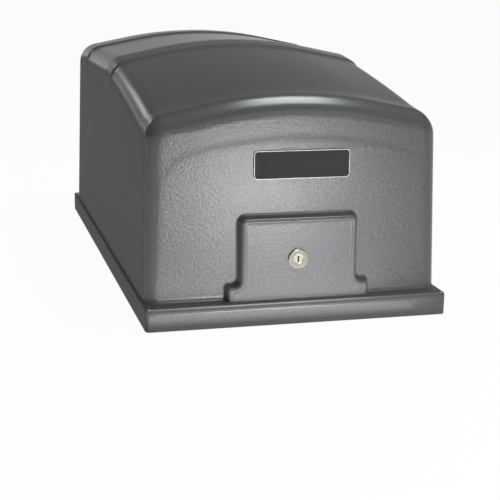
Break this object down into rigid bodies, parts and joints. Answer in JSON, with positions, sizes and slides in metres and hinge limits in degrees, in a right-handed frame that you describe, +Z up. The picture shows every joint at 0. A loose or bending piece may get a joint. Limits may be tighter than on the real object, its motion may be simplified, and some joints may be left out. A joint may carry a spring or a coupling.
{
  "type": "swing gate operator",
  "caption": "Swing gate operator: lift-off moulded cover with cam lock over a deck with motor, belt, worm reducer, keyed output shaft and controls.",
  "frame": {"origin": "under the middle of the cover's rim, on the face of the stand that the rails are bolted to", "axes": "+Z up, the lock and the sloping front face -Y, +X to the right seen from the front"},
  "size_m": [0.406, 0.762, 0.3355],
  "materials": {
    "cover_plastic": "pebble-grained moulded plastic",
    "plate_black": "bare near-black plate with a satin edge",
    "lock_nickel": "bright nickel plate",
    "zinc_steel": "zinc plate",
    "cast_housing": "painted casting",
    "bearing_steel": "ground",
    "machined_steel": "turned",
    "bronze": "cut bronze",
    "pulley_iron": "turned and blacked",
    "belt_rubber": "moulded rubber",
    "motor_paint": "black paint",
    "bell_aluminium": "die cast",
    "capacitor_case": "moulded",
    "sensor_plastic": "moulded",
    "board_green": "solder mask",
    "standoff_plastic": "nylon",
    "terminal_plastic": "moulded",
    "relay_plastic": "moulded",
    "transformer_core": "varnished laminations",
    "box_paint": "grey paint",
    "rocker_plastic": "moulded",
    "button_red": "moulded",
    "horn_plastic": "moulded"
  },
  "bodies": {
    "chassis": {"left_rail": "zinc_steel", "right_rail": "zinc_steel", "deck_plate": "zinc_steel", "lock_keeper": "zinc_steel", "reducer_housing": "cast_housing", "reducer_top_cover": "cast_housing", "worm_caps": "cast_housing", "shaft_bearings": "bearing_steel", "motor_frame": "motor_paint", "motor_drive_bell": "bell_aluminium", "motor_fan_cowl": "motor_paint", "motor_cradle": "zinc_steel", "capacitor": "capacitor_case", "drive_belt": "belt_rubber", "sensor_bracket": "zinc_steel", "limit_sensors": "sensor_plastic", "control_panel": "zinc_steel", "circuit_board": "board_green", "board_standoffs": "standoff_plastic", "terminal_blocks": "terminal_plastic", "relays": "relay_plastic", "transformer": "transformer_core", "power_box": "box_paint", "alarm_horn": "horn_plastic"},
    "output": {"output_shaft": "machined_steel", "worm_wheel": "bronze", "limit_cams": "zinc_steel"},
    "worm": {"worm_shaft": "machined_steel", "reducer_pulley": "pulley_iron"},
    "motor_rotor": {"motor_shaft": "machined_steel", "motor_pulley": "pulley_iron"},
    "cover": {"cover_shell": "cover_plastic", "name_plate": "plate_black", "lock_body": "lock_nickel"},
    "lock_core": {"lock_plug": "lock_nickel", "lock_tongue": "zinc_steel"},
    "rocker": {"power_rocker": "rocker_plastic"},
    "button": {"reset_button": "button_red"}
  },
  "joints": [
    {"name": "output_turn", "type": "hinge", "parent": "chassis", "child": "output", "pos_m": [0, 0.07, 0.1], "axis": [0, 0, 1], "range_deg": [0, 180]},
    {"name": "worm_turn", "type": "hinge", "parent": "chassis", "child": "worm", "pos_m": [0.1, -0.008, 0.117], "axis": [1, 0, 0], "continuous": true},
    {"name": "motor_turn", "type": "hinge", "parent": "chassis", "child": "motor_rotor", "pos_m": [0.1, -0.16, 0.15], "axis": [1, 0, 0], "continuous": true},
    {"name": "cover_lift", "type": "slide", "parent": "chassis", "child": "cover", "axis": [0, 0, 1], "range_m": [0, 0.42]},
    {"name": "lock_turn", "type": "hinge", "parent": "cover", "child": "lock_core", "pos_m": [0, -0.355, 0.0835], "axis": [0, -1, 0], "range_deg": [0, 90]},
    {"name": "rocker_tip", "type": "hinge", "parent": "chassis", "child": "rocker", "pos_m": [0.13073, -0.30526, 0.15125], "axis": [1, 0, 0], "range_deg": [0, 24]},
    {"name": "reset_press", "type": "slide", "parent": "chassis", "child": "button", "axis": [0, 0, -1], "range_m": [0, 0.004], "stiffness_N_per_m": 300}
  ],
  "couplings": [
    {"joint": "worm_turn", "follows": "output_turn", "ratio": -30},
    {"joint": "motor_turn", "follows": "output_turn", "ratio": -48}
  ]
}
